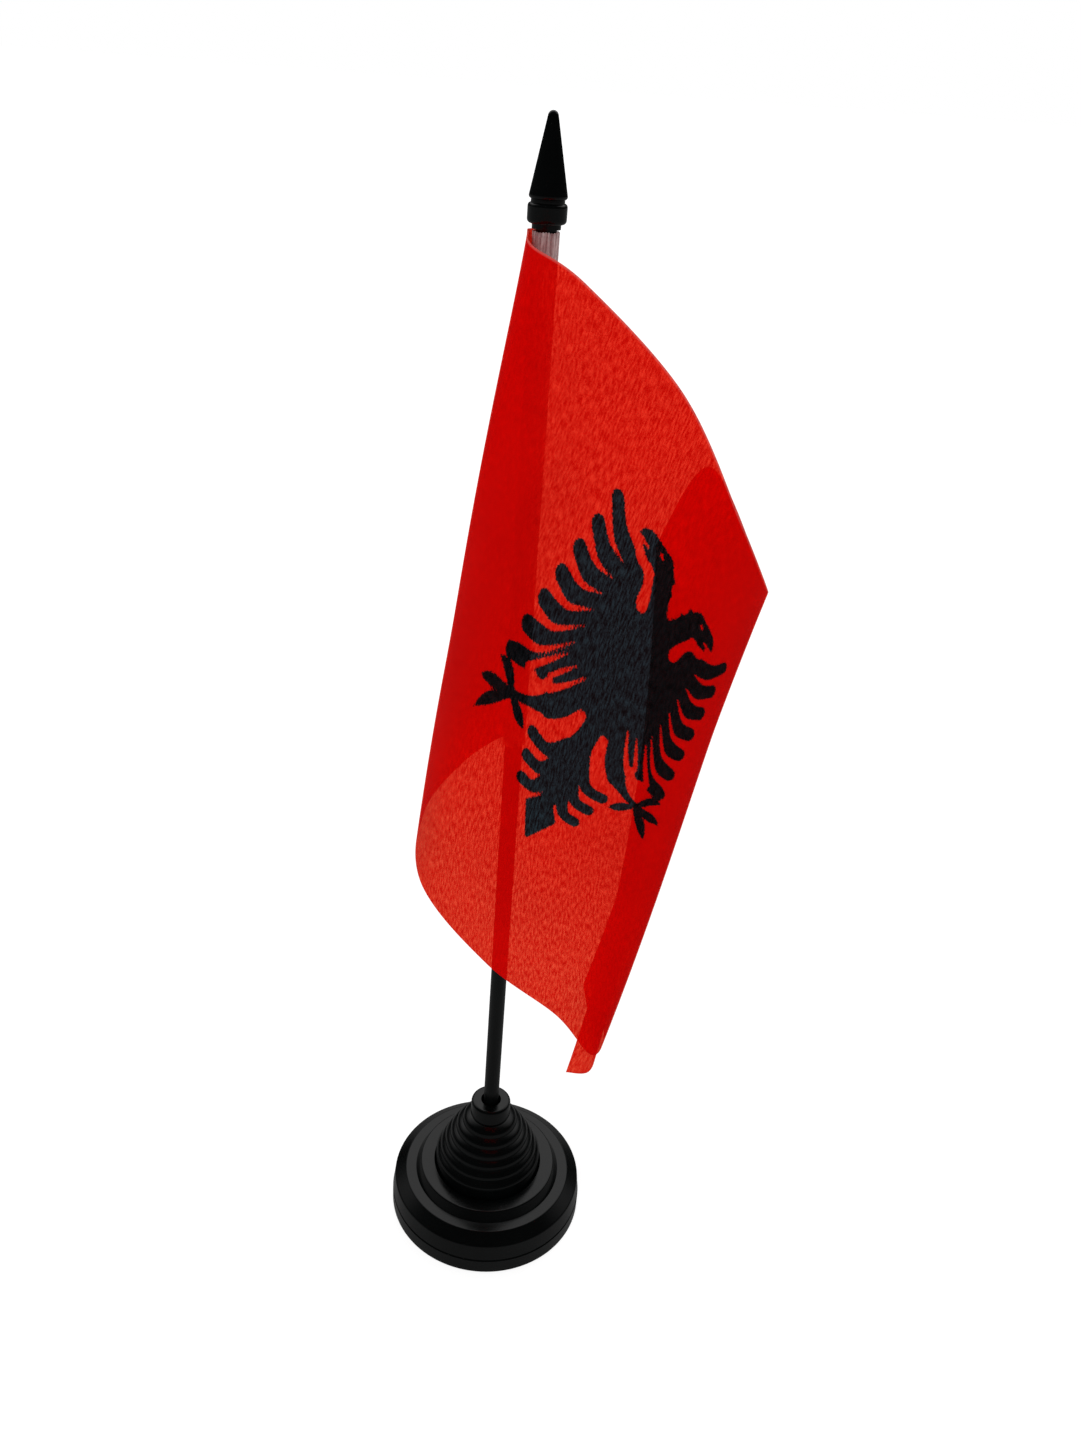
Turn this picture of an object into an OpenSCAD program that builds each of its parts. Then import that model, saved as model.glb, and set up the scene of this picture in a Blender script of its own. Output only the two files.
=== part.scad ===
// Desk flag stand: a stepped base with a loose socket, a straight pole with a cone finial,
// and a cloth flag on a sewn sleeve, curled forward like a loose scroll.
// Millimetres, +Z up. The origin is the middle of the face that the base rests on.

/* [Base] */
// Diameter of the base at its foot
base_d = 48.4; // [44:0.2:60]
// Height of the base, from the table to the collar's top
base_h = 34.2; // [32:0.2:36]
// Thickness of the moulded walls
wall = 2; // [1.6:0.1:2.4]
// Number of round beads on the cone
beads = 6; // [4:1:9]
// Number of stiffening ribs under the base
ribs = 6; // [3:1:10]

/* [Pole] */
// Diameter of the pole
pole_d = 3.7; // [3:0.1:4]
// Diameter of the socket that the pole stands in
socket_d = 5; // [4.5:0.1:5.4]
// Depth of the socket
socket_depth = 26; // [20:1:28]

/* [Finial] */
// Height of the finial, from its underside to its tip
finial_h = 18; // [16:0.5:24]
// Diameter of the finial's collar
finial_d = 6.8; // [6.4:0.2:9]
// How far the pole reaches into the finial
finial_grip = 8; // [5:0.5:10]

/* [Flag] */
// Height of the flag along the pole
hoist = 100; // [80:5:110]
// Length of the flag away from the pole
fly = 150; // [120:5:165]
// Thickness of the cloth's solid
cloth_t = 0.4; // [0.3:0.05:0.6]
// Height of the sleeve's lower end above the table
hoist_z = 137.3; // [130:0.1:160]

/* [Sleeve and seam] */
// Thickness of the sleeve's wall
sleeve_t = 0.3; // [0.2:0.05:0.4]
// Distance from one stitch to the next
stitch_pitch = 2.5; // [2:0.5:4]
// Diameter of the thread
thread_d = 0.3; // [0.2:0.05:0.4]

/* [Hidden] */
$fn = 96;

loose = 0.25;            // gap between the pole and the sleeve
push_fit = 0.05;         // gap all round in the finial's bore
touch = 0.3;             // gap between the finial and the sleeve

pole_r = pole_d / 2;
socket_floor = base_h - socket_depth;
sleeve_in_r = pole_r + loose;
sleeve_out_r = sleeve_in_r + sleeve_t;
finial_z = hoist_z + hoist + touch;
pole_top = finial_z + finial_grip;

// Points of an arc about (x, y), from angle a to angle b in even steps.
function arc(x, y, r, a, b, steps = 5) =
    [for (i = [0 : steps]) let (t = a + (b - a) * i / steps) [x + r * cos(t), y + r * sin(t)]];

// ---- Base ------------------------------------------------------------------------------

foot_r = base_d / 2;
rim_z = 9.2;             // top of the base's upright wall
rim_round = 0.7;         // rounding of the wall's top edge
line_z = 4.4;            // middle of the thin line round the wall
line_w = 0.5;
line_depth = 0.3;
outer_tread_r = foot_r - 3.1;
outer_tread_w = 2.8;
outer_tread_z = 10.9;
inner_tread_r = foot_r - 7;
inner_tread_w = 3.5;
inner_tread_z = 13.4;
tread_round = 0.5;
cone_foot = [inner_tread_r - inner_tread_w - 0.5, inner_tread_z + 2];
cone_top = [5.2, base_h - 4.6];
bead_depth = 0.5;        // how far each bead stands out from the cone
cone_belly = 0.7;        // how far the middle of the cone swells
valley_z = inner_tread_z - 0.5;
collar_foot_r = 5;
collar_r = 4.9;
collar_round = 0.8;
neck_groove = 0.6;       // height and depth of the groove between the cone and the collar

// The beaded side of the cone, from its foot to its top: half a sine wave for each bead.
bead_points = 8;
function cone_line() =
    let (
        side = cone_top - cone_foot,
        outward = [-side[1], side[0]] / -norm(side),
        steps = beads * bead_points)
    [for (i = [0 : steps])
        let (t = i / steps, swell = bead_depth * abs(sin(180 * beads * t)) + cone_belly * sin(180 * t))
        cone_foot + t * side + swell * outward];

function base_outline() = concat(
    [[0, 0], [foot_r - 0.5, 0], [foot_r, 0.5]],
    [[foot_r, line_z - line_w / 2], [foot_r - line_depth, line_z], [foot_r - 0.1, line_z + line_w / 2]],
    arc(foot_r - 0.5 - rim_round, rim_z - rim_round, rim_round, 0, 60),
    arc(outer_tread_r - tread_round, outer_tread_z - tread_round, tread_round, 40, 90),
    [[outer_tread_r - outer_tread_w, outer_tread_z]],
    arc(inner_tread_r - tread_round, inner_tread_z - tread_round, tread_round, 20, 90),
    [[cone_foot[0] + tread_round, inner_tread_z], [cone_foot[0], valley_z]],
    cone_line(),
    [[collar_foot_r - neck_groove, cone_top[1] + neck_groove / 2]],
    [[collar_foot_r, cone_top[1] + neck_groove]],
    arc(collar_r - collar_round, base_h - collar_round, collar_round, 10, 90),
    [[0, base_h]]);

boss_r = socket_d / 2 + wall - 0.3;
hollow_top = 18;         // height of the hollow beside the boss
cone_slope = (cone_foot[0] - cone_top[0]) / (cone_top[1] - cone_foot[1]);
function hollow_outline() = [
    [boss_r, -1],
    [foot_r - wall, -1],
    [foot_r - wall, rim_z - wall],
    [outer_tread_r - wall, outer_tread_z - wall],
    [inner_tread_r - wall / 2, inner_tread_z - 1.6 * wall],
    [cone_foot[0] - wall / 2, inner_tread_z - 1.2 * wall],
    [cone_foot[0] - wall - cone_slope * (hollow_top - cone_foot[1]), hollow_top],
    [boss_r, hollow_top]];

module rib_plates() {
    rib_w = 1.2;
    rib_lift = 1;        // the ribs stop short of the resting plane
    for (i = [0 : ribs - 1])
        rotate([0, 0, 360 * i / ribs])
            translate([0, -rib_w / 2, rib_lift])
                cube([foot_r - wall / 2, rib_w, hollow_top]);
}

module base() {
    color([0.03, 0.03, 0.03])
    difference() {
        rotate_extrude() polygon(base_outline());
        difference() {
            rotate_extrude() polygon(hollow_outline());
            rib_plates();
        }
        translate([0, 0, socket_floor]) cylinder(h = socket_depth + 1, d = socket_d);
    }
}

// ---- Pole ------------------------------------------------------------------------------

module pole() {
    chamfer = 0.3;
    color([0.03, 0.03, 0.03])
    rotate_extrude()
        polygon([
            [0, socket_floor],
            [pole_r - chamfer, socket_floor],
            [pole_r, socket_floor + chamfer],
            [pole_r, pole_top - chamfer],
            [pole_r - chamfer, pole_top],
            [0, pole_top]]);
}

// ---- Finial ----------------------------------------------------------------------------

function finial_outline() =
    let (
        r = finial_d / 2,
        skirt_h = 0.8,       // narrow ring below the collar
        collar_h = 3.3,
        groove_z = skirt_h + collar_h + 0.25,
        cone_z = groove_z + 0.3,
        tip_r = 0.9)
    concat(
        [[0, 0], [r - 0.9, 0], [r - 0.9, skirt_h]],
        arc(r - 0.7, skirt_h + 0.7, 0.7, -80, 0),
        arc(r - 0.6, skirt_h + collar_h - 0.6, 0.6, 0, 80),
        [[r - 0.5, groove_z]],
        arc(r - 0.6, cone_z + 0.5, 0.5, -80, 10),
        arc(0, finial_h - tip_r, tip_r, 12, 90));

module finial() {
    color([0.02, 0.02, 0.02])
    translate([0, 0, finial_z])
    difference() {
        rotate_extrude() polygon(finial_outline());
        translate([0, 0, -1]) cylinder(h = finial_grip + 1 + push_fit, r = pole_r + push_fit);
    }
}

// ---- Flag ------------------------------------------------------------------------------

// The curl is set by points on the flag's top and bottom edges: how far right, how far back,
// and how far below the hoist's own corner. They are given for a fly of 150 and scale with it.
curl = fly / 150;
hoist_gap = sleeve_out_r + cloth_t / 2 + 0.25;
top_points = [
    [-2.8, 1.7, 0], [-3, -2.5, 0], [-2, -16.5, -0.5], [6.5, -23.5, -4.5], [22, -38, -17],
    [32.5, -44, -34.5], [41.5, -27.5, -51.5], [32.5, -6, -37], [22.5, -21, -47]];
bottom_points = [
    [-3.5, 2.8, -1], [-10.5, -5, -3], [-16.5, -22, -4], [-15, -43.5, -5.5], [-2.5, -42.5, -24],
    [11.5, -44, -34.5], [18.5, -46, -42], [21.5, -40, -43.5], [21, -32, -40], [17.5, -28.5, -39.5],
    [20, -38.5, -47], [19, -42.5, -50], [14.5, -43, -50]];
// How far the middle of the flag bellies out, at quarters of the fly.
belly_points = [[0, 0, 0], [-5, -3.5, 1], [-4, -8, 2], [2, -0.5, 1], [4, -1, 0]];

// A smooth curve through all the points of a list.
function knot(list, i) = list[max(0, min(len(list) - 1, i))];
function curve_at(list, i, t) =
    let (a = knot(list, i - 1), b = knot(list, i), c = knot(list, i + 1), d = knot(list, i + 2))
    b + t * (c - a) / 2 + t * t * (2 * a - 5 * b + 4 * c - d) / 2 + t * t * t * (3 * b - a - 3 * c + d) / 2;
function trace(list, steps = 12) =
    [for (i = [0 : len(list) - 2], j = [0 : steps - 1]) curve_at(list, i, j / steps), list[len(list) - 1]];
function distances(line) =
    [for (i = 0, sum = 0; i < len(line);
        i = i + 1, sum = sum + (i < len(line) ? norm(line[i] - line[i - 1]) : 0)) sum];

// The same curve as n + 1 points, evenly spaced along it.
function evenly(list, n) =
    let (line = trace(list), dist = distances(line), total = dist[len(dist) - 1])
    [for (k = [0 : n])
        [for (axis = [0 : 2])
            lookup(total * k / n, [for (i = [0 : len(line) - 1]) [dist[i], line[i][axis]]])]];

function edge_of_flag(points, corner_z) =
    concat([[0, hoist_gap, corner_z]], [for (p = points) curl * p + [0, 0, corner_z]]);

// The cloth's middle surface as columns along the fly, each with rows down the hoist.
columns = 60;
rows = 14;
function cloth_surface() =
    let (
        top = evenly(edge_of_flag(top_points, hoist_z + hoist), columns),
        bottom = evenly(edge_of_flag(bottom_points, hoist_z), columns),
        quarter = columns / 4)
    [for (c = [0 : columns])
        let (belly = curl * curve_at(belly_points, floor(c / quarter), c / quarter - floor(c / quarter)))
        [for (r = [0 : rows])
            let (v = r / rows)
            top[c] * (1 - v) + bottom[c] * v + 4 * v * (1 - v) * belly]];

function cloth_normal(s, c, r) =
    let (
        along = s[min(c + 1, columns)][r] - s[max(c - 1, 0)][r],
        down = s[c][min(r + 1, rows)] - s[c][max(r - 1, 0)],
        n = cross(along, down))
    n / norm(n);

// Both faces of the cloth: face 0 on the normal's side, face 1 behind it.
function cloth_points(s) =
    [for (side = [1, -1], c = [0 : columns], r = [0 : rows])
        s[c][r] + side * cloth_t / 2 * cloth_normal(s, c, r)];

function at(face, c, r) = face * (columns + 1) * (rows + 1) + c * (rows + 1) + r;
function two_triangles(a, b, c, d) = [[a, b, c], [a, c, d]];
function join(lists) = [for (list = lists, item = list) item];
function cloth_faces() = join(concat(
    [for (c = [0 : columns - 1], r = [0 : rows - 1])
        two_triangles(at(0, c, r), at(0, c, r + 1), at(0, c + 1, r + 1), at(0, c + 1, r))],
    [for (c = [0 : columns - 1], r = [0 : rows - 1])
        two_triangles(at(1, c, r), at(1, c + 1, r), at(1, c + 1, r + 1), at(1, c, r + 1))],
    [for (c = [0 : columns - 1])
        two_triangles(at(0, c, 0), at(0, c + 1, 0), at(1, c + 1, 0), at(1, c, 0))],
    [for (c = [0 : columns - 1])
        two_triangles(at(0, c + 1, rows), at(0, c, rows), at(1, c, rows), at(1, c + 1, rows))],
    [for (r = [0 : rows - 1])
        two_triangles(at(0, 0, r + 1), at(0, 0, r), at(1, 0, r), at(1, 0, r + 1))],
    [for (r = [0 : rows - 1])
        two_triangles(at(0, columns, r), at(0, columns, r + 1), at(1, columns, r + 1), at(1, columns, r))]));

module flag_cloth() {
    color([0.75, 0.05, 0.03])
    polyhedron(points = cloth_points(cloth_surface()), faces = cloth_faces());
}

module flag_sleeve() {
    color([0.85, 0.82, 0.80])
    translate([0, 0, hoist_z])
    difference() {
        cylinder(h = hoist, r = sleeve_out_r);
        translate([0, 0, -1]) cylinder(h = hoist + 2, r = sleeve_in_r);
    }
}

// One running stitch: a bar of thread on the cloth's outside, held by a leg at each end that
// goes through the cloth and the sleeve.
module stitch() {
    bar_h = 0.6 * stitch_pitch;
    leg_y = sleeve_in_r + 0.05;
    bar_y = hoist_gap + cloth_t / 2 + thread_d / 4;
    translate([0, bar_y, 0]) cylinder(h = bar_h, d = thread_d, $fn = 16);
    for (z = [thread_d / 2, bar_h - thread_d / 2])
        translate([0, leg_y, z]) rotate([-90, 0, 0]) cylinder(h = bar_y - leg_y, d = thread_d, $fn = 16);
}

module seam_stitching() {
    seam_x = -0.5;
    count = floor((hoist - 2) / stitch_pitch);
    color([0.8, 0.1, 0.08])
    for (i = [0 : count - 1])
        translate([seam_x, 0, hoist_z + 1 + i * stitch_pitch]) stitch();
}

base();
pole();
finial();
flag_cloth();
flag_sleeve();
seam_stitching();
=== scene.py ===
"""Looks of the desk flag stand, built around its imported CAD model.

Everything is in metres, +Z up, with the origin in the middle of the base's resting face.
The camera stands at -Y. Lengths are written in millimetres and multiplied by MM.
"""
import math

import bpy
import numpy as np
from mathutils import Matrix, Vector


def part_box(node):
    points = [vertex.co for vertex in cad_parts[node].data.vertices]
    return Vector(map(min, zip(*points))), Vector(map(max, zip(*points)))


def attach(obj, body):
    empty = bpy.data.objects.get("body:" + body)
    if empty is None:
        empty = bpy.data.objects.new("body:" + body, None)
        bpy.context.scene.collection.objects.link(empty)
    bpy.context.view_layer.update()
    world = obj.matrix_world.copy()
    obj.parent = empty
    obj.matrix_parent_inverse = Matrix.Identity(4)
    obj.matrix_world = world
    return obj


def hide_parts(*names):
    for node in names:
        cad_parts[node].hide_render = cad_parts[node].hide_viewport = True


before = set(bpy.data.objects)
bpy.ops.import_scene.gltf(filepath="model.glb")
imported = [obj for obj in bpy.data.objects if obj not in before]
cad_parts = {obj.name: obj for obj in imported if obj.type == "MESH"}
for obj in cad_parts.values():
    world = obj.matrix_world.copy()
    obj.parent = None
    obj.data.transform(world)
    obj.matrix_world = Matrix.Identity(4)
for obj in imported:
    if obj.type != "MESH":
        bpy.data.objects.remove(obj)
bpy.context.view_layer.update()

MM = 0.001
scene = bpy.context.scene

# ---- Sizes taken from the frame ------------------------------------------------------------

sleeve_low, sleeve_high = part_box("flag_sleeve")

SLEEVE_R = (sleeve_high[0] - sleeve_low[0]) / 2
HOIST_TOP = sleeve_high[2]
HOIST_LOW = sleeve_low[2]
HOIST = HOIST_TOP - HOIST_LOW
FLY = 150 * MM               # length of the flat cloth away from the pole

# ---- Camera --------------------------------------------------------------------------------

CAMERA_PLACE = Vector((0, -219, 261.5)) * MM
CAMERA_YAW = math.radians(1.4)       # towards +X
CAMERA_PITCH = math.radians(28.7)    # downwards
CAMERA_ROLL = math.radians(4.3)
SENSOR = 36                          # long side of the picture, in millimetres on the sensor
LENS = 29.75                         # focal length, in millimetres


def make_camera():
    """The camera, aimed by yaw and pitch and then rolled about its line of sight."""
    look = Vector((
        math.sin(CAMERA_YAW) * math.cos(CAMERA_PITCH),
        math.cos(CAMERA_YAW) * math.cos(CAMERA_PITCH),
        -math.sin(CAMERA_PITCH)))
    level = Vector((math.cos(CAMERA_YAW), -math.sin(CAMERA_YAW), 0))
    upright = level.cross(look)
    right = math.cos(CAMERA_ROLL) * level + math.sin(CAMERA_ROLL) * upright
    up = math.cos(CAMERA_ROLL) * upright - math.sin(CAMERA_ROLL) * level
    data = bpy.data.cameras.new("camera")
    data.lens = LENS
    data.sensor_width = SENSOR
    data.clip_start = 0.01
    camera = bpy.data.objects.new("camera", data)
    camera.matrix_world = Matrix((right, up, -look)).transposed().to_4x4()
    camera.location = CAMERA_PLACE
    scene.collection.objects.link(camera)
    scene.camera = camera


make_camera()

# ---- Node materials: small helpers -----------------------------------------------------------


class Nodes:
    """A material's node tree, with short calls for the nodes used here."""

    def __init__(self, name):
        self.material = bpy.data.materials.new(name)
        self.material.use_nodes = True
        self.tree = self.material.node_tree
        self.tree.nodes.clear()

    def add(self, kind, inputs=None, **settings):
        """A new node with these settings, and with a value or a link put into each named input."""
        node = self.tree.nodes.new(kind)
        for key, value in settings.items():
            setattr(node, key, value)
        for key, value in (inputs or {}).items():
            self.put(value, node.inputs[key])
        return node

    def put(self, value, socket):
        if isinstance(value, bpy.types.NodeSocket):
            self.tree.links.new(value, socket)
        else:
            socket.default_value = value

    def math(self, operation, a, b=0.0, clamp=False):
        return self.add("ShaderNodeMath", {0: a, 1: b}, operation=operation, use_clamp=clamp).outputs[0]

    def mix(self, factor, a, b, blend="MIX"):
        node = self.add("ShaderNodeMix", data_type="RGBA", blend_type=blend)
        self.put(factor, node.inputs["Factor"])
        self.put(a, node.inputs["A"])
        self.put(b, node.inputs["B"])
        return node.outputs["Result"]

    def noise(self, vector, scale, detail=2.0, roughness=0.5):
        inputs = {"Vector": vector, "Scale": scale, "Detail": detail, "Roughness": roughness}
        return self.add("ShaderNodeTexNoise", inputs).outputs["Fac"]

    def between(self, value, low, high, to_low=0.0, to_high=1.0):
        """The value's range from low to high, turned into the range from to_low to to_high."""
        inputs = {"Value": value, "From Min": low, "From Max": high, "To Min": to_low, "To Max": to_high}
        return self.add("ShaderNodeMapRange", inputs).outputs["Result"]

    def stretched(self, vector, scale, turn=0.0):
        """The vector turned about Z and then stretched along each axis."""
        turning = {"Vector": vector, "Angle": math.radians(turn)}
        turned = self.add("ShaderNodeVectorRotate", turning, rotation_type="Z_AXIS").outputs["Vector"]
        return self.add("ShaderNodeVectorMath", {0: turned, 1: scale}, operation="MULTIPLY").outputs[0]

    def finish(self, shader):
        output = self.add("ShaderNodeOutputMaterial")
        self.tree.links.new(shader, output.inputs["Surface"])
        return self.material


def set_material(piece, material):
    """Gives a piece built here its material."""
    piece.data.materials.clear()
    piece.data.materials.append(material)


def dress_node(name, material):
    """Gives a CAD node that stays in view its material."""
    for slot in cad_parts[name].material_slots:
        slot.link = "OBJECT"
        slot.material = material


# ---- Materials -------------------------------------------------------------------------------


def moulded_plastic(name, colour, roughness, grain):
    """Black moulded plastic: slightly uneven gloss, faint flow marks and fine handling scratches."""
    flow_marks = 90                    # size of each pattern, as features per metre
    surface_grain = 1800
    scratch_size = (300, 300, 6000)
    most_scratched = 0.12              # how much rougher the deepest scratches are
    lighter = tuple(channel * 1.8 for channel in colour[:3]) + (1,)
    n = Nodes(name)
    place = n.add("ShaderNodeTexCoord").outputs["Object"]
    cloudy = n.noise(place, flow_marks, 4)
    fine = n.noise(place, surface_grain, 2)
    scratch = n.noise(n.stretched(place, scratch_size), 1, 3, 0.7)
    rough = n.between(cloudy, 0.3, 0.7, roughness * 0.85, roughness * 1.2)
    rough = n.math("ADD", rough, n.between(scratch, 0.62, 0.8, 0, most_scratched))
    tint = n.mix(n.between(cloudy, 0.35, 0.75), colour, lighter)
    height = n.math("ADD", n.math("MULTIPLY", fine, grain), n.math("MULTIPLY", scratch, 0.3))
    bump = n.add("ShaderNodeBump", {"Strength": 0.12, "Distance": 0.05 * MM, "Height": height})
    shader = n.add("ShaderNodeBsdfPrincipled", {
        "Base Color": tint, "Roughness": rough, "Normal": bump.outputs["Normal"],
        "Specular IOR Level": 0.3})
    return n.finish(shader.outputs["BSDF"])


BLACK = (0.0004, 0.0006, 0.0006, 1)
base_plastic = moulded_plastic("base_plastic", BLACK, 0.20, 0.5)
pole_plastic = moulded_plastic("pole_plastic", BLACK, 0.28, 0.4)
finial_plastic = moulded_plastic("finial_plastic", BLACK, 0.20, 0.3)

FLAT_MAP = "flat"            # UV map that holds the cloth's own coordinates, in metres
PRINT_ATTRIBUTE = "print"    # distance to the printed emblem's outline, in metres, negative inside


def flag_cloth_material():
    """Thin printed cloth: open weave, dye a little uneven, light shining through.

    The cloth has two faces, so what is behind it is seen through this material twice.
    """
    dye, dye_brighter = (0.54, 0.0008, 0.0004, 1), (0.62, 0.0016, 0.0006, 1)
    undyed = (0.70, 0.25, 0.22, 1)
    print_dark, print_worn = (0.002, 0.0025, 0.003, 1), (0.010, 0.011, 0.013, 1)
    lit_dye, lit_print = (0.72, 0.001, 0.0005, 1), (0.006, 0.006, 0.008, 1)
    sheer_dye, sheer_print = (0.98, 0.28, 0.19, 1), (0.22, 0.22, 0.25, 1)
    streaks = (3000, 700, 1)           # features per metre along the fly and down the hoist
    streak_turn = 16
    specks = 3200
    tight, open_weave = 0.38, 0.62     # the weave's range
    print_blur = 0.08 * MM
    n = Nodes("flag_fabric")
    place = n.add("ShaderNodeUVMap", uv_map=FLAT_MAP).outputs["UV"]
    down = n.add("ShaderNodeSeparateXYZ", {"Vector": place}).outputs["Y"]

    cloudy = n.noise(place, 60, 3)
    threads = n.noise(n.stretched(place, streaks, streak_turn), 1, 2, 0.5)
    speck = n.noise(place, specks, 1)
    weave = n.math("ADD", n.math("MULTIPLY", threads, 0.7), n.math("MULTIPLY", speck, 0.3))

    distance = n.add("ShaderNodeAttribute", attribute_name=PRINT_ATTRIBUTE).outputs["Fac"]
    edge = n.math("ADD", distance, n.between(speck, 0.3, 0.7, -0.12 * MM, 0.12 * MM))
    ink = n.between(edge, -print_blur, print_blur, 1.0, 0.0)

    red = n.mix(n.between(cloudy, 0.3, 0.7), dye, dye_brighter)
    red = n.mix(n.between(down, 0.1 * MM, 0.4 * MM, 0.7, 0.0), red, undyed)    # the cut top edge
    black = n.mix(n.between(weave, 0.4, open_weave), print_dark, print_worn)
    glow = n.mix(ink, lit_dye, lit_print)

    painted_light_low_down = n.between(down, 55 * MM, 90 * MM, 1.0, 1.5)    # painted light: low down the cloth passes up to 1.5 times what is behind it, standing in for the brighter light behind its lower part
    gaps = n.math("MULTIPLY", n.between(weave, tight, open_weave, 0.4, 1.5), painted_light_low_down)
    red_gaps = n.between(weave, tight, open_weave, 0.7, 1.2)
    holes = n.add("ShaderNodeCombineColor", {0: red_gaps, 1: gaps, 2: gaps})
    sheer = n.mix(1.0, n.mix(ink, sheer_dye, sheer_print), holes.outputs[0], "MULTIPLY")

    bump = n.add("ShaderNodeBump", {"Strength": 0.3, "Distance": 0.08 * MM, "Height": weave})
    face = n.add("ShaderNodeBsdfPrincipled", {
        "Base Color": n.mix(ink, red, black), "Roughness": 0.8, "Normal": bump.outputs["Normal"],
        "Specular IOR Level": 0.02})
    lit = n.add("ShaderNodeBsdfTranslucent", {"Color": glow, "Normal": bump.outputs["Normal"]})
    cloth = n.add("ShaderNodeMixShader", {0: 0.40, 1: face.outputs["BSDF"], 2: lit.outputs["BSDF"]})
    clear = n.add("ShaderNodeBsdfTransparent", {"Color": sheer})
    mixed = n.add("ShaderNodeMixShader", {0: 0.38, 1: cloth.outputs["Shader"], 2: clear.outputs["BSDF"]})
    return n.finish(mixed.outputs["Shader"])


def sleeve_material():
    """Unprinted thin cloth with fine ribs, coloured darker in their valleys as painted shade, through
    which the dark pole shows.
    """
    # painted shade: the ribs' valleys get the darker colour, their ridges the lighter one
    shaded_valley, lit_ridge = (0.28, 0.15, 0.15, 1), (0.62, 0.50, 0.49, 1)
    dark_speck = (0.16, 0.08, 0.08, 1)
    tinge = (0.90, 0.80, 0.80, 1)
    rib_size = (2600, 2600, 160)       # features per metre, long ones up the pole
    n = Nodes("sleeve_fabric")
    place = n.add("ShaderNodeTexCoord").outputs["Object"]
    ribs = n.noise(n.stretched(place, rib_size), 1, 3)
    speck = n.noise(place, 2400, 2)
    # painted shade: darker where the ribs are low, following the same height as the bump
    pale = n.mix(n.between(ribs, 0.35, 0.65), shaded_valley, lit_ridge)
    pale = n.mix(n.between(speck, 0.4, 0.7, 0.0, 0.35), pale, dark_speck)
    bump = n.add("ShaderNodeBump", {"Strength": 0.5, "Distance": 0.1 * MM, "Height": ribs})
    solid = n.add("ShaderNodeBsdfPrincipled", {
        "Base Color": pale, "Roughness": 0.8, "Normal": bump.outputs["Normal"],
        "Specular IOR Level": 0.1})
    clear = n.add("ShaderNodeBsdfTransparent", {"Color": tinge})
    mixed = n.add("ShaderNodeMixShader", {0: 0.45, 1: solid.outputs["BSDF"], 2: clear.outputs["BSDF"]})
    return n.finish(mixed.outputs["Shader"])


def thread_material():
    """Twisted sewing thread."""
    shade, light = (0.35, 0.008, 0.006, 1), (0.62, 0.035, 0.022, 1)
    twist_size = (4000, 4000, 9000)
    n = Nodes("thread")
    place = n.add("ShaderNodeTexCoord").outputs["Object"]
    twist = n.noise(n.stretched(place, twist_size), 1, 2)
    bump = n.add("ShaderNodeBump", {"Strength": 0.6, "Distance": 0.05 * MM, "Height": twist})
    shader = n.add("ShaderNodeBsdfPrincipled", {
        "Base Color": n.mix(n.between(twist, 0.35, 0.65), shade, light), "Roughness": 0.5,
        "Normal": bump.outputs["Normal"], "Sheen Weight": 0.3})
    return n.finish(shader.outputs["BSDF"])


# ---- The flag's drape ------------------------------------------------------------------------

# Points on the flag's top and bottom edges, in millimetres: how far right, how far back, and how
# far below the hoist's own corner. The CAD solid of the cloth goes through the same points.
HOIST_GAP = 0.45             # from the sleeve's outside to the middle of the cloth sewn to it
CURVE_STEPS = 24             # steps of the drawn edge between two of its points
TOP_POINTS = [
    (-2.8, 1.7, 0), (-3, -2.5, 0), (-2, -16.5, -0.5), (6.5, -23.5, -4.5), (22, -38, -17),
    (32.5, -44, -34.5), (41.5, -27.5, -51.5), (32.5, -6, -37), (22.5, -21, -47)]
BOTTOM_POINTS = [
    (-3.5, 2.8, -1), (-10.5, -5, -3), (-16.5, -22, -4), (-15, -43.5, -5.5), (-2.5, -42.5, -24),
    (11.5, -44, -34.5), (18.5, -46, -42), (21.5, -40, -43.5), (21, -32, -40), (17.5, -28.5, -39.5),
    (20, -38.5, -47), (19, -42.5, -50), (14.5, -43, -50)]
# How far the middle of the flag bellies out, at quarters of the fly.
BELLY_POINTS = [(0, 0, 0), (-5, -3.5, 1), (-4, -8, 2), (2, -0.5, 1), (4, -1, 0)]


def curve_through(points, steps):
    """A smooth curve through the points, as an array with this many steps between two of them."""
    p = np.array(points, float)
    p = np.vstack([p[:1], p, p[-1:]])
    t = np.arange(steps)[:, None] / steps
    pieces = []
    for a, b, c, d in zip(p, p[1:], p[2:], p[3:]):
        cubic = (3 * b - a - 3 * c + d) * t ** 3 + (2 * a - 5 * b + 4 * c - d) * t ** 2 + (c - a) * t
        pieces.append(b + cubic / 2)
    return np.vstack(pieces + [p[-1:]])


def evenly(line, count):
    """The line as count + 1 points with even spacing along it."""
    step = np.linalg.norm(np.diff(line, axis=0), axis=1)
    along = np.concatenate([[0], np.cumsum(step)])
    wanted = np.linspace(0, along[-1], count + 1)
    return np.stack([np.interp(wanted, along, line[:, axis]) for axis in range(3)], axis=1)


def flag_surface(columns, rows):
    """The cloth's middle surface as an array [column][row] of points in metres."""
    start = (0, SLEEVE_R / MM + HOIST_GAP, 0)
    top = evenly(curve_through([start] + TOP_POINTS, CURVE_STEPS), columns) * MM
    bottom = evenly(curve_through([start] + BOTTOM_POINTS, CURVE_STEPS), columns) * MM
    top[:, 2] += HOIST_TOP
    bottom[:, 2] += HOIST_LOW
    belly = curve_through(BELLY_POINTS, columns // (len(BELLY_POINTS) - 1)) * MM
    v = np.linspace(0, 1, rows + 1)[None, :, None]
    return top[:, None] * (1 - v) + bottom[:, None] * v + 4 * v * (1 - v) * belly[:, None]


# ---- The printed emblem ----------------------------------------------------------------------

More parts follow.
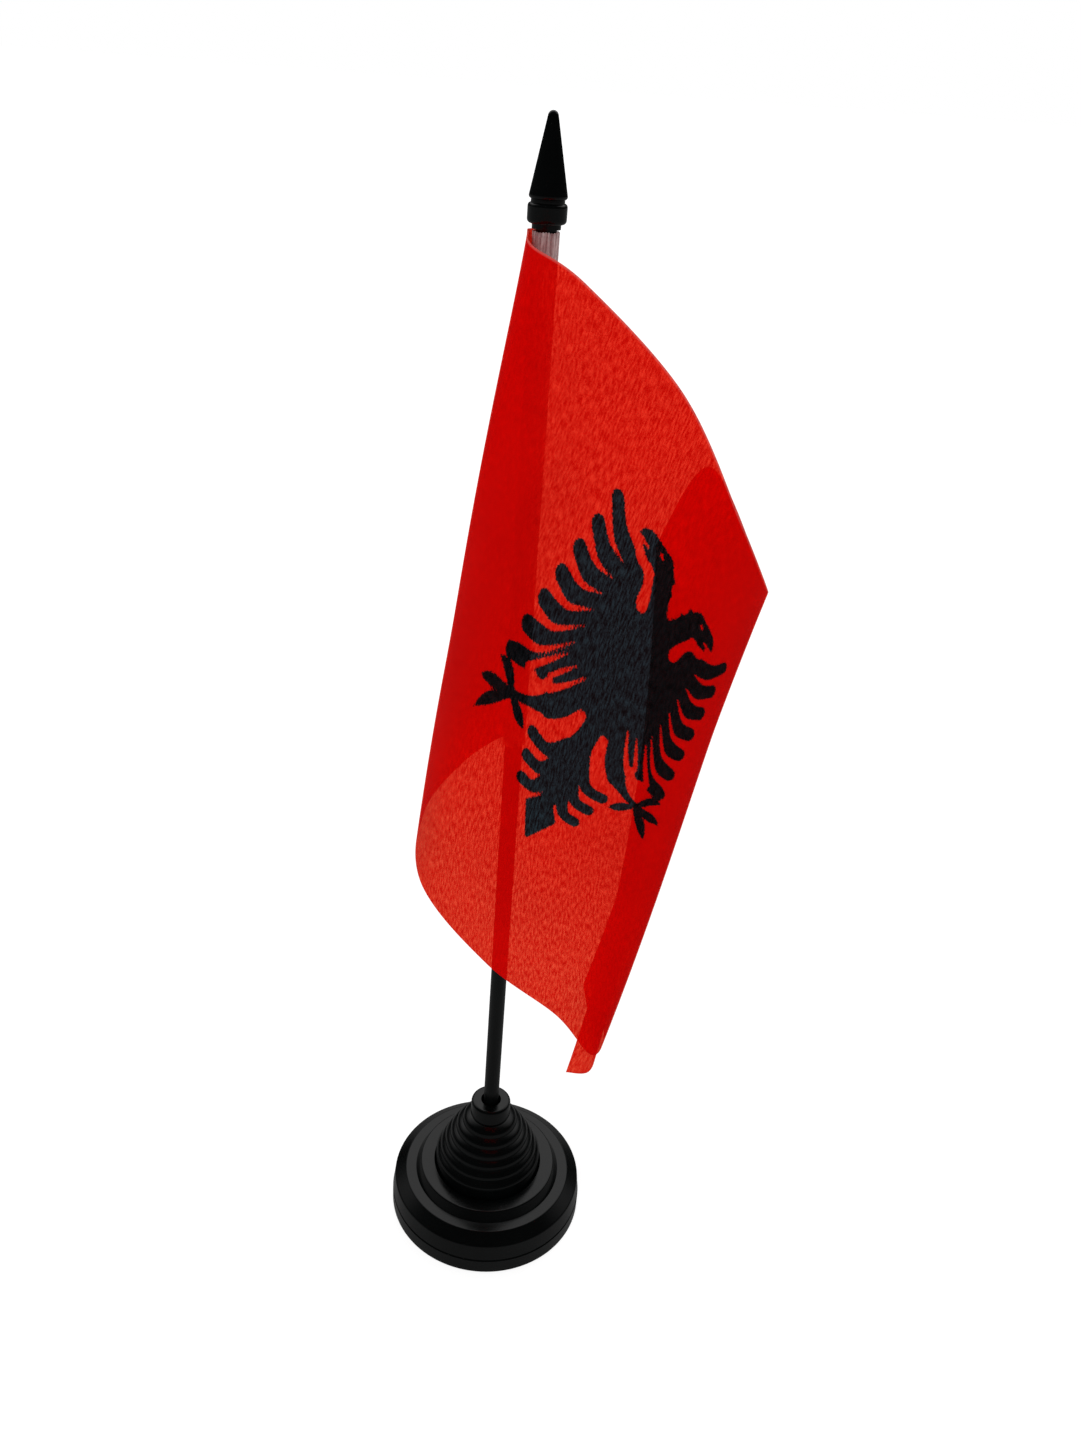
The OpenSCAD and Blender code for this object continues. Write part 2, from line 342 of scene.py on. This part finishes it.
# A plain two-headed heraldic bird drawn with strokes of changing width. Millimetres on the flat
# cloth: x from the bird's middle line towards the fly, y down from the top edge. It is
# symmetrical, so only the half with x above 0 is listed.
EMBLEM_TOP = 17              # height of the wings' upper tips
EMBLEM_SIDE = 0.3            # the middle line's place to the fly side of the flag's own middle there
EMBLEM_LEAN = 0.04           # how far the middle line leans to the hoist, for each millimetre down
EMBLEM_SKEW = 0.0001         # how askew the lower parts are drawn: it raises the fly side of them
FEATHERS = 7                 # large feathers of a wing
TAIL_FEATHERS = 3            # feathers on each side of the tail


def segment_distance(x, y, a, b, ra, rb):
    """Distance to a stroke from a to b whose half width goes from ra to rb."""
    ax, ay = a
    dx, dy = b[0] - ax, b[1] - ay
    t = np.clip(((x - ax) * dx + (y - ay) * dy) / (dx * dx + dy * dy + 1e-9), 0, 1)
    return np.hypot(x - ax - t * dx, y - ay - t * dy) - (ra + (rb - ra) * t)


def stroke_distance(x, y, points, widths):
    """Distance to a smooth stroke through the points, with a half width at each of them."""
    line = curve_through([(px, py, w) for (px, py), w in zip(points, widths)], 6)
    nearest = np.full(x.shape, 1e9)
    for a, b in zip(line, line[1:]):
        nearest = np.minimum(nearest, segment_distance(x, y, a[:2], b[:2], a[2], b[2]))
    return nearest


def kite_distance(x, y, top, corner, end):
    """Roughly the distance to a kite on the middle line, from its top down to its end."""
    upper = ((corner[1] - top) * x - corner[0] * (y - top)) / math.hypot(corner[0], corner[1] - top)
    lower = ((end - corner[1]) * x + corner[0] * (y - end)) / math.hypot(corner[0], end - corner[1])
    return np.maximum(upper, lower)


def wing_line(t):
    """The middle line of a wing feather, from the top one at t = 0 to the bottom one at t = 1."""
    root = (11.8 - 1.2 * t * t, 20.2 + 16.6 * t)
    knee = (15.3, 19.4 + 24.0 * t)
    tip = (18.3 + 1.2 * t, 17.3 + 28.2 * t)
    return [root, knee, tip]


def bird_strokes():
    """The strokes of the bird's right half, as (points, half widths)."""
    strokes = [
        ([(0, 25), (0, 36), (0, 43), (0, 50), (0, 57)], [6.0, 5.2, 2.4, 3.0, 1.8]),  # body
        ([(3.0, 28.0), (4.0, 28.0)], [8.6, 8.6]),                                    # shoulder
        ([(8.0, 20.8), (11.5, 20.8)], [1.8, 1.6]),
        ([(5.0, 34.0), (9.0, 34.5)], [3.2, 2.6]),
        ([(2.4, 26), (2.5, 20.5), (4.3, 16.8)], [2.6, 2.2, 2.1]),                    # neck
        ([(5.4, 15.6), (8.0, 15.6)], [2.0, 1.6]),                                    # head
        ([(8.4, 15.2), (10.8, 15.5), (12.4, 16.4)], [1.2, 0.85, 0.2]),               # upper beak
        ([(8.4, 16.8), (10.7, 17.2)], [0.7, 0.2]),                                   # lower beak
        ([(8.8, 35.5), (11.0, 39.6), (13.2, 43.2)], [1.4, 1.2, 1.25]),                # small feathers
        ([(6.6, 35.5), (8.5, 39.0), (10.2, 41.8)], [1.2, 1.0, 1.0]),
        ([(4.4, 38.0), (7.0, 43.2), (9.0, 45.8)], [1.8, 2.1, 1.9]),                  # thigh
        ([(9.0, 45.8), (12.4, 48.3), (15.8, 50.0)], [1.6, 0.75, 0.6])]               # leg
    for x, y in ((3.6, 15.0), (2.7, 16.7), (1.8, 18.5)):                             # crest
        strokes.append(([(x + 0.9, y + 0.5), (x - 1.2, y - 0.2)], [0.9, 0.1]))
    for i in range(FEATHERS):
        strokes.append((wing_line(i / (FEATHERS - 1)), [1.7, 1.5, 1.35]))
    for middle, tip in (((18.2, 47.9), (20.8, 47.6)), ((20.0, 51.4), (22.8, 52.4)),
                        ((18.9, 53.8), (21.0, 56.8)), ((12.8, 51.3), (10.8, 52.2))):     # talons
        strokes.append(([(15.6, 50.0), middle, tip], [0.4, 0.95, 0.15]))
    for i in range(TAIL_FEATHERS):
        t = i / (TAIL_FEATHERS - 1)
        tip = (9.0 - 2.4 * t, 51.2 + 7.2 * t)
        strokes.append((
            [(1.6 - 0.6 * t, 47.4 + 6.0 * t), (4.9 - 1.3 * t, 50.9 + 6.9 * t), tip], [1.7, 1.1, 1.05]))
    return strokes


def bird_gaps():
    """Strokes that are cut out of the bird's right half again."""
    gaps = [
        ([(13.0, 17.9), (9.2, 18.1), (6.4, 19.2), (5.2, 21.7)], [0.5, 0.5, 0.9, 1.3]),    # throat
        ([(2.7, 41.6), (3.5, 45), (6.2, 48.6), (7.6, 49.8)], [0.7, 1.1, 0.9, 0.4]),       # thigh
        ([(9.6, 16.25), (12.4, 16.9)], [0.12, 0.2]),                                      # mouth
        ([(6.7, 14.95), (7.3, 15.05)], [0.3, 0.25]),                                      # eye
        ([(10.6, 37.2), (13.2, 41.4), (15.6, 44.8)], [0.12, 0.45, 0.6]),                  # small feathers
        ([(8.2, 37.2), (10.2, 40.4), (11.6, 42.8)], [0.12, 0.4, 0.4]),
        ([(5.8, 37.2), (8.3, 41.2), (10.4, 44.0)], [0.12, 0.45, 0.6])]
    for i in range(FEATHERS - 1):
        root, knee, tip = wing_line((i + 0.5) / (FEATHERS - 1))
        beyond = (2 * tip[0] - knee[0], 2 * tip[1] - knee[1])
        gaps.append(([root, knee, tip, beyond], [0.12, 0.5, 0.85, 1.7]))
    return gaps


def emblem_distance(u, v):
    """Distance to the bird's outline over the flat cloth, in metres, negative inside."""
    side = u / MM - FLY / MM / 2
    down = v / MM
    side = side - EMBLEM_SIDE + EMBLEM_LEAN * (down - EMBLEM_TOP)
    y = down + EMBLEM_SKEW * (down - EMBLEM_TOP) ** 2 * side
    x = np.abs(side)
    nearest = kite_distance(x, y, 56.2, (3.7, 60.8), 67.4)
    for points, widths in bird_strokes():
        nearest = np.minimum(nearest, stroke_distance(x, y, points, widths))
    for points, widths in bird_gaps():
        nearest = np.maximum(nearest, -stroke_distance(x, y, points, widths))
    return nearest * MM


# ---- Pieces ----------------------------------------------------------------------------------


def add_piece(name, mesh, material, body):
    """A piece that rides on a body of the frame."""
    piece = bpy.data.objects.new(name, mesh)
    scene.collection.objects.link(piece)
    set_material(piece, material)
    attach(piece, body)
    return piece


CELL = 0.5 * MM              # size of the cloth mesh's cells
CLOTH_T = 0.18 * MM


def cloth_vertices(points):
    """The points of the sheet's two faces, half the cloth's thickness out from its middle surface."""
    normal = np.cross(np.gradient(points, axis=0), np.gradient(points, axis=1))
    normal /= np.linalg.norm(normal, axis=2, keepdims=True)
    layers = [points + side * CLOTH_T / 2 * normal for side in (1, -1)]
    return np.concatenate([layer.reshape(-1, 3) for layer in layers])


def cloth_faces(columns, rows):
    """Quads of the sheet's two faces and of the closed edge between them."""
    first = np.arange((columns + 1) * (rows + 1)).reshape(columns + 1, rows + 1)
    second = first + first.size
    corner = (slice(None, -1), slice(None, -1))
    below = (slice(None, -1), slice(1, None))
    across = (slice(1, None), slice(1, None))
    beside = (slice(1, None), slice(None, -1))
    rim = np.concatenate([first[:, 0], first[-1, 1:], first[-2::-1, -1], first[0, -2:0:-1]])
    after = np.roll(rim, -1)
    return np.concatenate([
        np.stack([first[part] for part in (corner, below, across, beside)], axis=2).reshape(-1, 4),
        np.stack([second[part] for part in (corner, beside, across, below)], axis=2).reshape(-1, 4),
        np.stack([rim, after, after + first.size, rim + first.size], axis=1)])


def cloth_mesh(name, points):
    """The sheet round an array [column][row] of points, with its flat map and its print."""
    columns, rows = points.shape[0] - 1, points.shape[1] - 1
    faces = cloth_faces(columns, rows)
    mesh = bpy.data.meshes.new(name)
    mesh.from_pydata(cloth_vertices(points).tolist(), [], faces.tolist())
    u, v = np.meshgrid(np.linspace(0, FLY, columns + 1), np.linspace(0, HOIST, rows + 1), indexing="ij")
    flat = np.stack([u.ravel(), v.ravel()], axis=1)
    flat = np.concatenate([flat, flat])
    uv = mesh.uv_layers.new(name=FLAT_MAP)
    uv.data.foreach_set("uv", flat[faces.ravel()].ravel())
    printed = mesh.attributes.new(PRINT_ATTRIBUTE, "FLOAT", "POINT")
    printed.data.foreach_set("value", emblem_distance(flat[:, 0], flat[:, 1]))
    mesh.shade_smooth()
    mesh.update()
    return mesh


def make_sleeve():
    """The strip of cloth that wraps the pole, with fine ribs and a slightly frayed top end."""
    around = 144             # points round the sleeve
    stations = 60            # rings of points along it
    thickness = 0.12 * MM
    inset = 0.03 * MM        # how far it stays inside the CAD sleeve
    slack = 0.03 * MM        # depth of its gentle waves
    rib_depth = 0.06 * MM
    fray = 0.25 * MM
    angle = np.arange(around) * 2 * math.pi / around
    t = np.linspace(0, 1, stations + 1)[:, None]
    ribs = np.sin(36 * angle) + 0.5 * np.sin(23 * angle + 1.0)
    waves = slack * np.sin(2 * angle + 40 * t)
    top = HOIST_TOP - fray * (1 + np.sin(11 * angle) * np.sin(17 * angle)) / 2
    z = HOIST_LOW + t * (top - HOIST_LOW)
    rings = []
    for depth in (0, thickness):
        r = SLEEVE_R - depth - inset - rib_depth * (1 - ribs / 1.5) / 2 + waves
        rings.append(np.stack([r * np.cos(angle), r * np.sin(angle), z], axis=2))
    loop = np.concatenate([rings[0], rings[1][::-1]])
    index = np.arange(loop.shape[0] * around).reshape(-1, around)
    after = np.roll(index, -1, axis=1)
    up, up_after = np.roll(index, -1, axis=0), np.roll(after, -1, axis=0)
    faces = np.stack([index, after, up_after, up], axis=2).reshape(-1, 4)
    mesh = bpy.data.meshes.new("sleeve")
    mesh.from_pydata(loop.reshape(-1, 3).tolist(), [], faces.tolist())
    mesh.shade_smooth()
    sleeve = add_piece("sleeve", mesh, sleeve_material(), "flag")
    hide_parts("flag_sleeve")


def make_flag():
    """The draped and printed cloth."""
    columns = round(FLY / CELL)
    rows = round(HOIST / CELL)
    surface = flag_surface(columns, rows)
    flag = add_piece("flag", cloth_mesh("flag", surface), flag_cloth_material(), "flag")
    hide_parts("flag_cloth")
    return flag


make_sleeve()
flag = make_flag()

dress_node("base", base_plastic)
dress_node("pole", pole_plastic)
dress_node("finial", finial_plastic)
dress_node("seam_stitching", thread_material())

# ---- Floor, world and lights -----------------------------------------------------------------


def make_floor():
    """A white table, lit so strongly that shadows on it stay faint, but dim in reflections."""
    size = 20.0
    paint, mirrored_paint = (0.30, 0.30, 0.30, 1), (0.05, 0.05, 0.05, 1)
    glow, mirrored_glow = 0.78, 0.11
    n = Nodes("floor")
    mirrored = n.add("ShaderNodeLightPath").outputs["Is Glossy Ray"]
    shader = n.add("ShaderNodeBsdfPrincipled", {
        "Base Color": n.mix(mirrored, paint, mirrored_paint), "Roughness": 0.8,
        "Specular IOR Level": 0.0, "Emission Color": (1, 1, 1, 1),
        "Emission Strength": n.between(mirrored, 0.0, 1.0, glow, mirrored_glow)})
    mesh = bpy.data.meshes.new("floor")
    corners = [(-size, -size, 0), (size, -size, 0), (size, size, 0), (-size, size, 0)]
    mesh.from_pydata(corners, [], [(0, 1, 2, 3)])
    floor = bpy.data.objects.new("floor", mesh)
    scene.collection.objects.link(floor)
    set_material(floor, n.finish(shader.outputs["BSDF"]))


def make_world():
    """A white room. Reflections see a dark one, with a large soft light behind and above."""
    backdrop = 1.0           # what the camera sees behind the floor
    room_light = 0.75        # what lights the object from all sides
    dark_room = 0.012        # what reflections see at the front and low down
    front_top, back_top = 0.03, 1.3    # what they see above, from the front to the back
    world = bpy.data.worlds.new("world")
    world.use_nodes = True
    tree = world.node_tree
    tree.nodes.clear()

    def add(kind, **settings):
        node = tree.nodes.new(kind)
        for key, value in settings.items():
            setattr(node, key, value)
        return node

    def ramp(source, low, high, to_low, to_high):
        node = add("ShaderNodeMapRange", interpolation_type="SMOOTHSTEP")
        for key, value in (("From Min", low), ("From Max", high), ("To Min", to_low), ("To Max", to_high)):
            node.inputs[key].default_value = value
        tree.links.new(source, node.inputs["Value"])
        return node.outputs["Result"]

    def blend(factor, a, b):
        node = add("ShaderNodeMix", data_type="FLOAT")
        for value, socket in ((factor, "Factor"), (a, "A"), (b, "B")):
            if isinstance(value, bpy.types.NodeSocket):
                tree.links.new(value, node.inputs[socket])
            else:
                node.inputs[socket].default_value = value
        return node.outputs["Result"]

    direction = add("ShaderNodeTexCoord").outputs["Generated"]
    split = add("ShaderNodeSeparateXYZ")
    tree.links.new(direction, split.inputs[0])
    above = ramp(split.outputs["Z"], 0.25, 0.70, 0.0, 1.0)
    behind = ramp(split.outputs["Y"], -0.1, 0.6, front_top, back_top)
    reflected = blend(above, dark_room, behind)
    rays = add("ShaderNodeLightPath")
    room = blend(rays.outputs["Is Camera Ray"], room_light, backdrop)
    strength = blend(rays.outputs["Is Glossy Ray"], room, reflected)
    background = add("ShaderNodeBackground")
    background.inputs["Color"].default_value = (1, 1, 1, 1)
    tree.links.new(strength, background.inputs["Strength"])
    output = add("ShaderNodeOutputWorld")
    tree.links.new(background.outputs["Background"], output.inputs["Surface"])
    scene.world = world


def sun(name, place, strength, softness):
    """Even light from the direction of a place, seen from the origin, with no reflection of its own."""
    data = bpy.data.lights.new(name, "SUN")
    data.energy = strength
    data.angle = math.radians(softness)
    light = bpy.data.objects.new(name, data)
    light.rotation_mode = "QUATERNION"
    light.rotation_quaternion = (-Vector(place)).to_track_quat("-Z", "Y")
    light.visible_glossy = False
    scene.collection.objects.link(light)


make_floor()
make_world()
sun("key", (-0.3, -0.8, 0.6), 1.3, 25)
sun("back", (0.2, 0.7, 1.0), 0.7, 35)

scene.view_settings.view_transform = "Standard"
